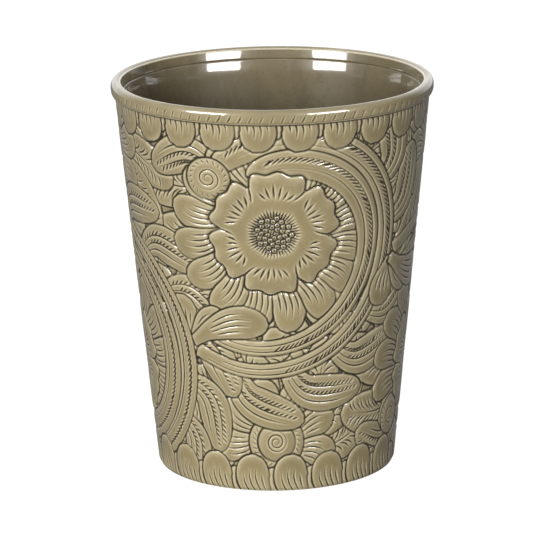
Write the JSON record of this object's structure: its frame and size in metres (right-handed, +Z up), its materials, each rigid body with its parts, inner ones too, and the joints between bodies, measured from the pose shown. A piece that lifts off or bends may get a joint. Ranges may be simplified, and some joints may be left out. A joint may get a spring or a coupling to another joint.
{
  "type": "dice cup",
  "caption": "Tapered round dice cup: tooled leather over a stiff core, smooth lining, a folded lip under a thick rim bead, and a layered bottom.",
  "frame": {"origin": "centre of the underside, on the cup's axis", "axes": "+Z up along the cup's axis to the mouth; +Y towards the sewn back seam"},
  "size_m": [0.08, 0.08, 0.098],
  "materials": {
    "tooled_leather": "glossy lacquer over dark antiquing",
    "rim_leather": "glossy lacquer",
    "lining_leather": "smooth, glossy",
    "board": "raw, matt",
    "waxed_thread": "waxed"
  },
  "bodies": {
    "root": {"tooled_sleeve": "tooled_leather", "seam_thread": "waxed_thread", "core_tube": "board", "lining_tube": "lining_leather", "lip_binding": "rim_leather", "rim_bead": "rim_leather", "base_disc": "tooled_leather", "core_disc": "board", "floor_lining": "lining_leather"}
  },
  "joints": []
}
